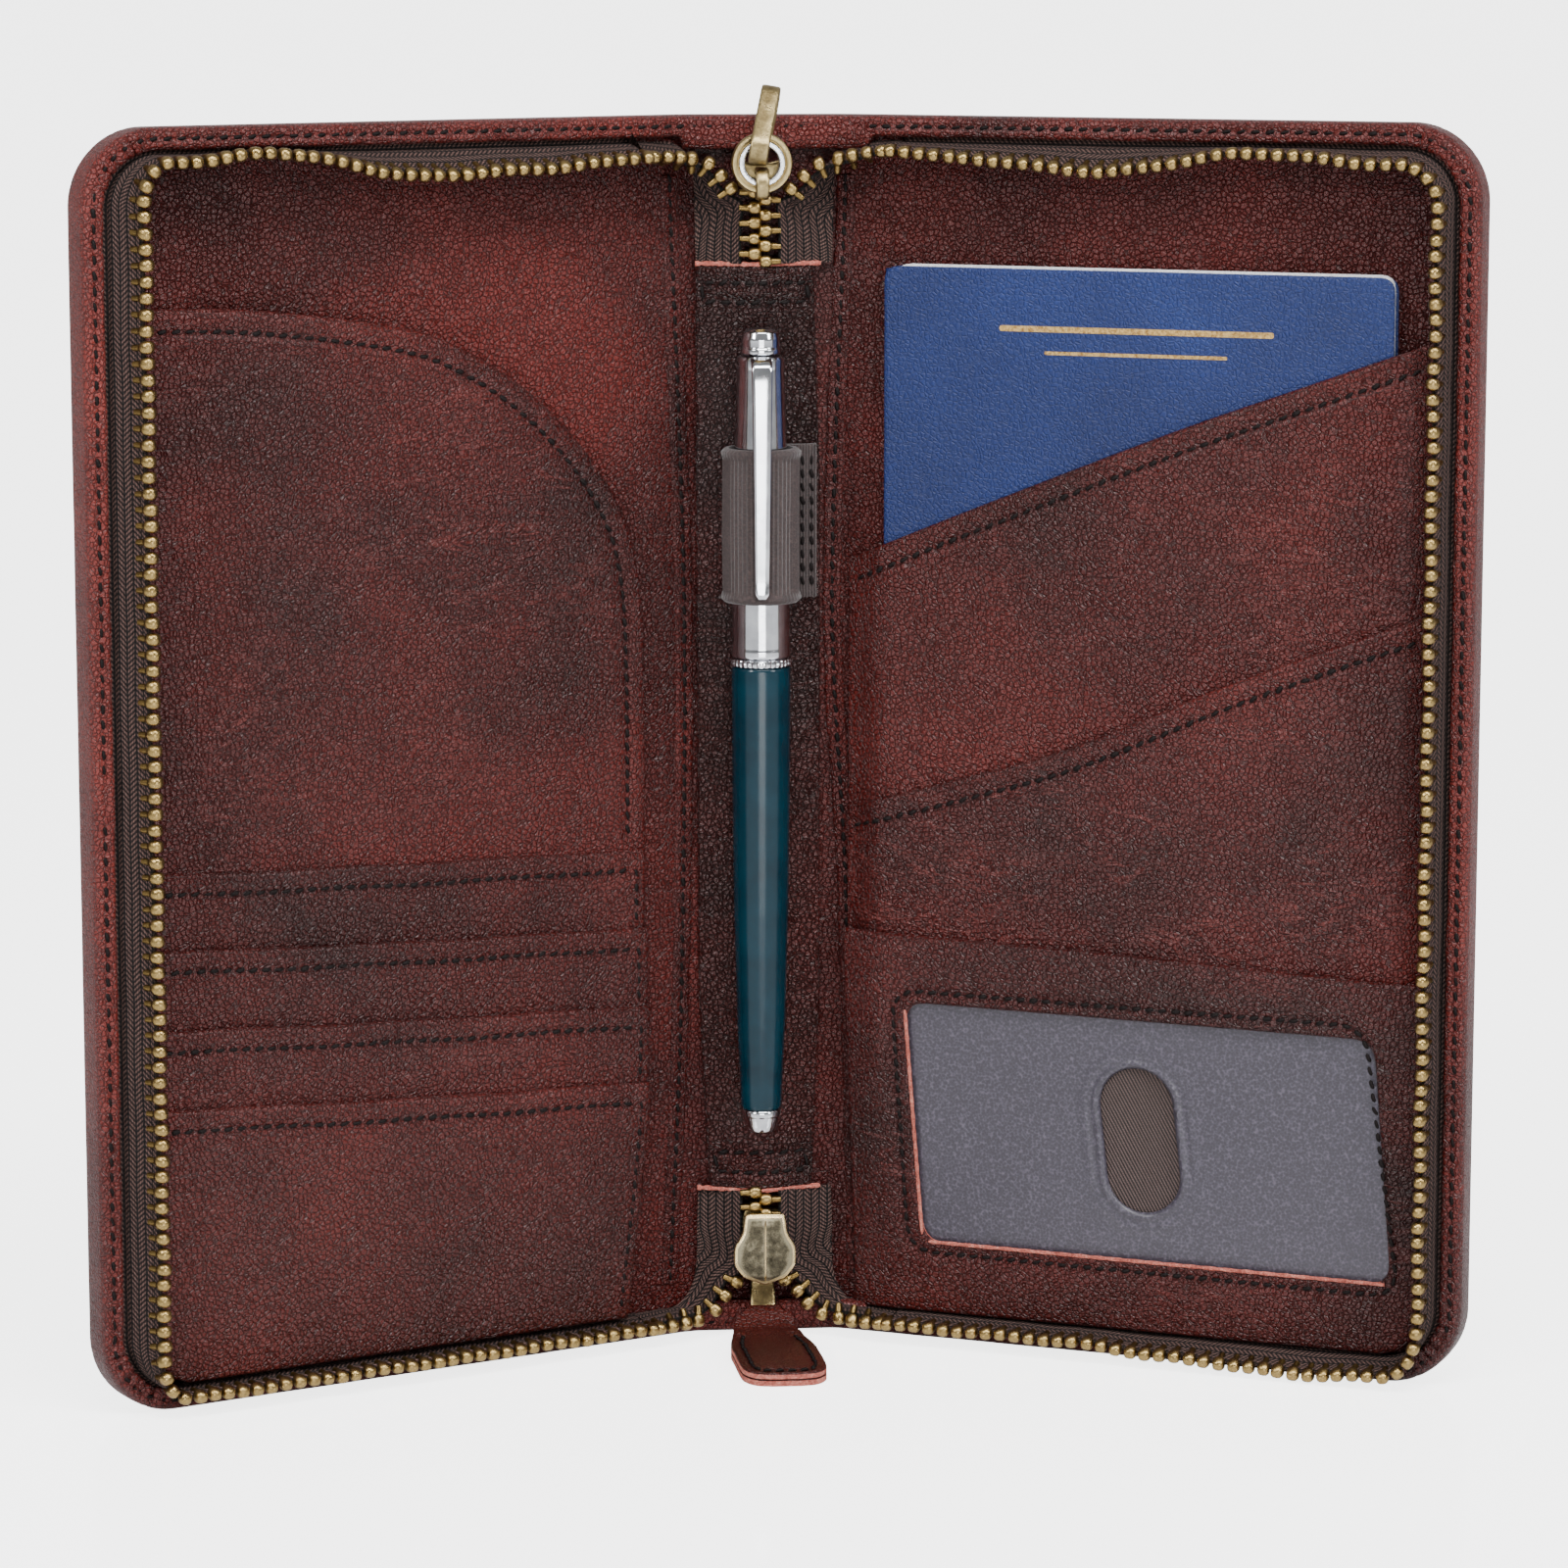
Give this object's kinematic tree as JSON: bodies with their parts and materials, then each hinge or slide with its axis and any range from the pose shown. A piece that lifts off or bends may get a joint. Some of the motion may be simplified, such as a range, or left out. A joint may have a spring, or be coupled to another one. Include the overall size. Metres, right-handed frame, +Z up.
{
  "type": "travel document organizer",
  "caption": "Zip-around leather document organizer standing open like a book: two pocketed covers folding on a spine, zip rows with sliders, a pen in an elastic loop and a booklet in a pocket.",
  "frame": {"origin": "centre of the bounding box's footprint, on the floor the case stands on", "axes": "+Z up along the spine, +X from the left cover to the right cover as seen from the open side, the covers open towards -Y"},
  "size_m": [0.2328, 0.0604, 0.217],
  "materials": {
    "binding_leather": "dark reddish-brown grained leather, edge binding",
    "outer_leather": "dark reddish-brown grained leather, outer skin",
    "lining_leather": "dark reddish-brown grained leather, inner lining",
    "pocket_leather": "dark reddish-brown grained leather with stitched edges",
    "tag_leather": "two-ply leather tag with raw reddish edges",
    "board": "plain stiffening board",
    "zip_tape": "dark brown woven herringbone tape",
    "zip_metal": "antique brass, worn bright on the high edges",
    "slider_metal": "antique brass, brushed",
    "elastic": "dark ribbed elastic",
    "id_film": "frosted speckled film",
    "id_twill": "dark twill cloth",
    "pen_chrome": "polished",
    "pen_lacquer": "glossy teal lacquer",
    "passport_cloth": "blue grained book cover",
    "passport_paper": "white page block"
  },
  "bodies": {
    "spine": {"spine_lining": "lining_leather", "spine_board": "board", "spine_leather": "outer_leather", "spine_strip": "lining_leather", "spine_binding_top": "binding_leather", "spine_binding_bottom": "binding_leather", "zip_chain_top": "zip_metal", "zip_chain_bottom": "zip_metal", "zip_row_top_left": "zip_metal", "zip_row_top_right": "zip_metal", "zip_row_bottom_left": "zip_metal", "zip_row_bottom_right": "zip_metal", "zip_gusset_top_left": "zip_tape", "zip_gusset_top_right": "zip_tape", "zip_gusset_bottom_left": "zip_tape", "zip_gusset_bottom_right": "zip_tape", "pen_loop": "elastic"},
    "cover_left": {"lining_left": "lining_leather", "cover_board_left": "board", "cover_leather_left": "outer_leather", "binding_left": "binding_leather", "zip_tape_left": "zip_tape", "zip_teeth_left": "zip_metal", "document_pocket_left": "pocket_leather", "card_slot_1": "pocket_leather", "card_slot_2": "pocket_leather", "card_slot_3": "pocket_leather", "card_slot_4": "pocket_leather"},
    "cover_right": {"lining_right": "lining_leather", "cover_board_right": "board", "cover_leather_right": "outer_leather", "binding_right": "binding_leather", "zip_tape_right": "zip_tape", "zip_teeth_right": "zip_metal", "passport_pocket": "pocket_leather", "slant_pocket": "pocket_leather", "id_pocket": "pocket_leather", "id_window": "id_film", "id_backing": "id_twill"},
    "passport": {"passport_cover": "passport_cloth", "passport_pages": "passport_paper"},
    "pen": {"pen_tail": "pen_chrome", "pen_barrel": "pen_lacquer", "pen_trim_ring": "pen_chrome", "pen_cap": "pen_chrome", "pen_finial": "pen_chrome", "pen_clip": "pen_chrome"},
    "slider_top": {"zip_slider_top": "slider_metal", "slider_ring_top": "slider_metal"},
    "bail": {"pull_bail_top": "slider_metal"},
    "slider_bottom": {"zip_slider_bottom": "slider_metal", "pull_link_bottom": "slider_metal"},
    "tag": {"pull_tag_bottom": "tag_leather"}
  },
  "joints": [
    {"name": "cover_left_fold", "type": "hinge", "parent": "spine", "child": "cover_left", "pos_m": [-0.0131, 0.02499, 0], "axis": [0, 0, 1], "range_deg": [-26, 64]},
    {"name": "cover_right_fold", "type": "hinge", "parent": "spine", "child": "cover_right", "pos_m": [0.0131, 0.02499, 0], "axis": [0, 0, -1], "range_deg": [-26, 64]},
    {"name": "passport_slide", "type": "slide", "parent": "cover_right", "child": "passport", "axis": [0, 0, 1], "range_m": [0, 0.014]},
    {"name": "pen_slide", "type": "slide", "parent": "spine", "child": "pen", "axis": [0, 0, 1], "range_m": [-0.01, 0.01]},
    {"name": "slider_top_slide", "type": "slide", "parent": "spine", "child": "slider_top", "axis": [0, 0, 1], "range_m": [0, 0.003]},
    {"name": "bail_swing", "type": "hinge", "parent": "slider_top", "child": "bail", "pos_m": [-0.001, 0.01579, 0.2082], "axis": [1, 0, 0], "range_deg": [0, 95]},
    {"name": "slider_bottom_slide", "type": "slide", "parent": "spine", "child": "slider_bottom", "axis": [0, 0, 1], "range_m": [0, 0.0015]},
    {"name": "tag_swing", "type": "hinge", "parent": "slider_bottom", "child": "tag", "pos_m": [-0.0004, 0.02024, 0.0026], "axis": [-1, 0, 0], "range_deg": [0, 20]}
  ]
}
